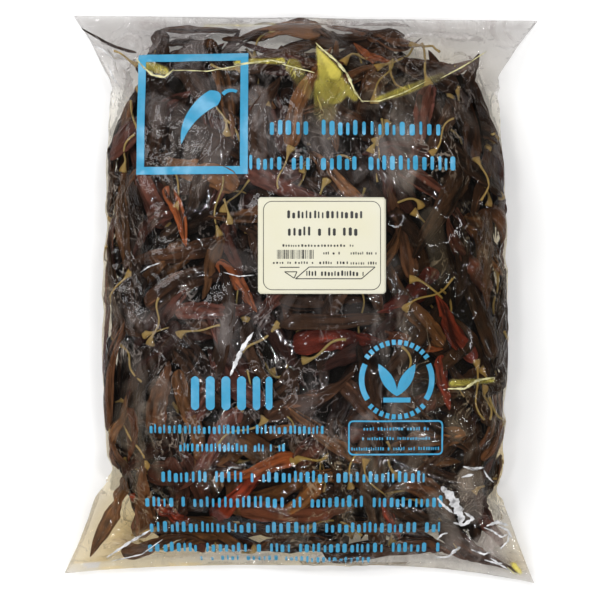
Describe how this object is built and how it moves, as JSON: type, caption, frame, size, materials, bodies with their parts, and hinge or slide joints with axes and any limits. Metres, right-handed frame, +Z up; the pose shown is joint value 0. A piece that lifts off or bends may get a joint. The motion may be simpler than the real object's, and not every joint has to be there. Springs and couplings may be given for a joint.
{
  "type": "bag of dried chillies",
  "caption": "Clear plastic bag of whole dried chillies with stems, lying on its back, with flat film ears at the corners and a blank paper label on the front.",
  "frame": {"origin": "middle of the bag in plan, on the surface that it lies on", "axes": "+X across the bag, +Y from the bottom seam to the top seam, +Z up through the printed front"},
  "size_m": [0.358, 0.43, 0.0817],
  "materials": {
    "chillies_in_film": "dark wrinkled pods under clear glossy film",
    "label_paper": "semi-gloss off-white paper",
    "clear_film": "thin crisp clear film, glossy and creased",
    "pod_skin": "leathery dried skin with a dull gloss",
    "stem_skin": "dry woody stem",
    "blue_ink": "blue ink printed on film",
    "black_ink": "black ink on paper"
  },
  "bodies": {
    "root": {"bag_of_dried_chillies": "chillies_in_film", "label": "label_paper"}
  },
  "joints": []
}
